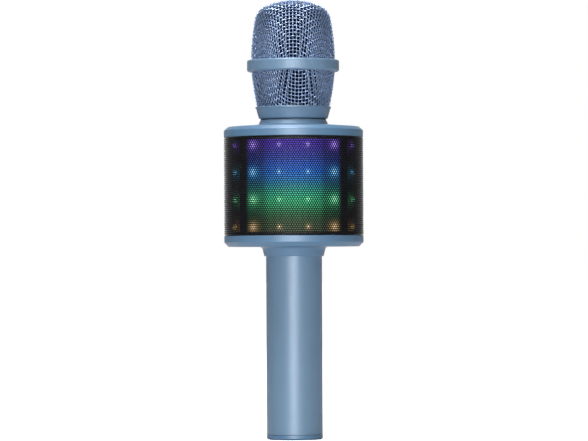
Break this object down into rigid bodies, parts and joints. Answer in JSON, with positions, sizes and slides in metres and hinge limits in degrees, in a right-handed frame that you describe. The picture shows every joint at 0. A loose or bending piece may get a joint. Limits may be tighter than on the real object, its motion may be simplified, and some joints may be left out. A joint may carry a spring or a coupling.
{
  "type": "toy microphone",
  "caption": "Karaoke microphone with a wire-mesh screw-on head, a lit speaker drum behind a perforated grille and a tubular handle with control buttons.",
  "frame": {"origin": "centre of the handle's flat end, which it stands on", "axes": "+Z along the handle towards the head, -Y out of the front of the drum, +Y out of the control panel"},
  "size_m": [0.0792, 0.0792, 0.25],
  "materials": {
    "painted_shell": "satin metallic blue paint on ABS",
    "painted_tube": "satin metallic blue paint on aluminium",
    "painted_wire": "woven steel wire with blue paint",
    "painted_ring": "satin metallic blue paint on aluminium",
    "black_grille": "perforated steel sheet, matt black",
    "windscreen_foam": "open-cell foam, dark",
    "black_plastic": "fine moulded texture",
    "grey_plastic": "fine moulded texture",
    "button_plastic": "satin moulded",
    "panel_plastic": "satin painted",
    "rubber_black": "matt",
    "screw_steel": "nickel-plated",
    "socket_steel": "nickel-plated",
    "capsule_brass": "gold-plated",
    "magnet_steel": "zinc-plated",
    "cone_paper": "pressed paper, black",
    "circuit_board": "green solder mask",
    "lamp_board": "black solder mask",
    "battery_wrap": "shrink-wrapped",
    "wire_red": "satin insulation",
    "light_diffuser": "milky, lit from behind",
    "lamp_lens": "clear epoxy, lit",
    "status_lens": "clear, lit"
  },
  "bodies": {
    "root": {"end_cap": "painted_shell", "end_screws": "screw_steel", "port_board": "circuit_board", "charge_socket": "socket_steel", "aux_jack": "socket_steel", "card_socket": "socket_steel", "handle_tube": "painted_tube", "handle_chassis": "black_plastic", "battery_cell": "battery_wrap", "battery_pads": "screw_steel", "battery_leads": "wire_red", "control_board": "circuit_board", "tact_switches": "grey_plastic", "control_panel": "panel_plastic", "status_lens": "status_lens", "lock_ring": "screw_steel", "drum_bottom_cap": "painted_shell", "drum_screws": "screw_steel", "main_board": "circuit_board", "board_screws": "screw_steel", "light_frame": "black_plastic", "led_strip_front": "lamp_board", "led_strip_rear": "lamp_board", "led_strips_left": "lamp_board", "led_strips_right": "lamp_board", "led_lamps": "lamp_lens", "light_window_front": "light_diffuser", "light_window_rear": "light_diffuser", "speaker_box_front": "black_plastic", "speaker_box_rear": "black_plastic", "box_screws": "screw_steel", "speaker_frame_left": "grey_plastic", "speaker_frame_right": "grey_plastic", "speaker_magnet_left": "magnet_steel", "speaker_magnet_right": "magnet_steel", "speaker_surround_left": "rubber_black", "speaker_surround_right": "rubber_black", "speaker_grille": "black_grille", "drum_top_cap": "painted_shell", "neck_ring": "painted_ring", "neck_screws": "screw_steel", "neck_gasket": "rubber_black", "capsule_cable": "rubber_black", "capsule_mount": "grey_plastic", "capsule_body": "capsule_brass"},
    "windscreen": {"foam_windscreen": "windscreen_foam"},
    "head": {"head_collar": "painted_ring", "grille_skirt": "painted_wire", "grille_band": "painted_ring", "grille_dome": "painted_wire"},
    "power_key": {"power_button": "button_plastic"},
    "volume_up_key": {"volume_up_button": "button_plastic"},
    "volume_down_key": {"volume_down_button": "button_plastic"},
    "mode_key": {"mode_button": "button_plastic"},
    "echo_up_key": {"echo_up_button": "button_plastic"},
    "echo_down_key": {"echo_down_button": "button_plastic"},
    "previous_key": {"previous_button": "button_plastic"},
    "next_key": {"next_button": "button_plastic"},
    "left_cone": {"speaker_cone_left": "cone_paper"},
    "right_cone": {"speaker_cone_right": "cone_paper"}
  },
  "joints": [
    {"name": "head_lift", "type": "slide", "parent": "root", "child": "windscreen", "axis": [0, 0, 1], "range_m": [0, 0.006]},
    {"name": "head_turn", "type": "hinge", "parent": "windscreen", "child": "head", "pos_m": [0, 0, 0.185], "axis": [0, 0, 1], "range_deg": [0, 1080]},
    {"name": "power_press", "type": "slide", "parent": "root", "child": "power_key", "axis": [0, -1, 0], "range_m": [0, 0.0004], "stiffness_N_per_m": 1500},
    {"name": "volume_up_press", "type": "slide", "parent": "root", "child": "volume_up_key", "axis": [0, -1, 0], "range_m": [0, 0.0004], "stiffness_N_per_m": 1500},
    {"name": "volume_down_press", "type": "slide", "parent": "root", "child": "volume_down_key", "axis": [0, -1, 0], "range_m": [0, 0.0004], "stiffness_N_per_m": 1500},
    {"name": "mode_press", "type": "slide", "parent": "root", "child": "mode_key", "axis": [0, -1, 0], "range_m": [0, 0.0004], "stiffness_N_per_m": 1500},
    {"name": "echo_up_press", "type": "slide", "parent": "root", "child": "echo_up_key", "axis": [0, -1, 0], "range_m": [0, 0.0004], "stiffness_N_per_m": 1500},
    {"name": "echo_down_press", "type": "slide", "parent": "root", "child": "echo_down_key", "axis": [0, -1, 0], "range_m": [0, 0.0004], "stiffness_N_per_m": 1500},
    {"name": "previous_press", "type": "slide", "parent": "root", "child": "previous_key", "axis": [0, -1, 0], "range_m": [0, 0.0004], "stiffness_N_per_m": 1500},
    {"name": "next_press", "type": "slide", "parent": "root", "child": "next_key", "axis": [0, -1, 0], "range_m": [0, 0.0004], "stiffness_N_per_m": 1500},
    {"name": "left_cone_travel", "type": "slide", "parent": "root", "child": "left_cone", "axis": [-1, 0, 0], "range_m": [-0.0005, 0.0005], "stiffness_N_per_m": 800},
    {"name": "right_cone_travel", "type": "slide", "parent": "root", "child": "right_cone", "axis": [1, 0, 0], "range_m": [-0.0005, 0.0005], "stiffness_N_per_m": 800}
  ],
  "couplings": [
    {"joint": "head_lift", "follows": "head_turn", "m_per_rad": 0.0003183}
  ]
}
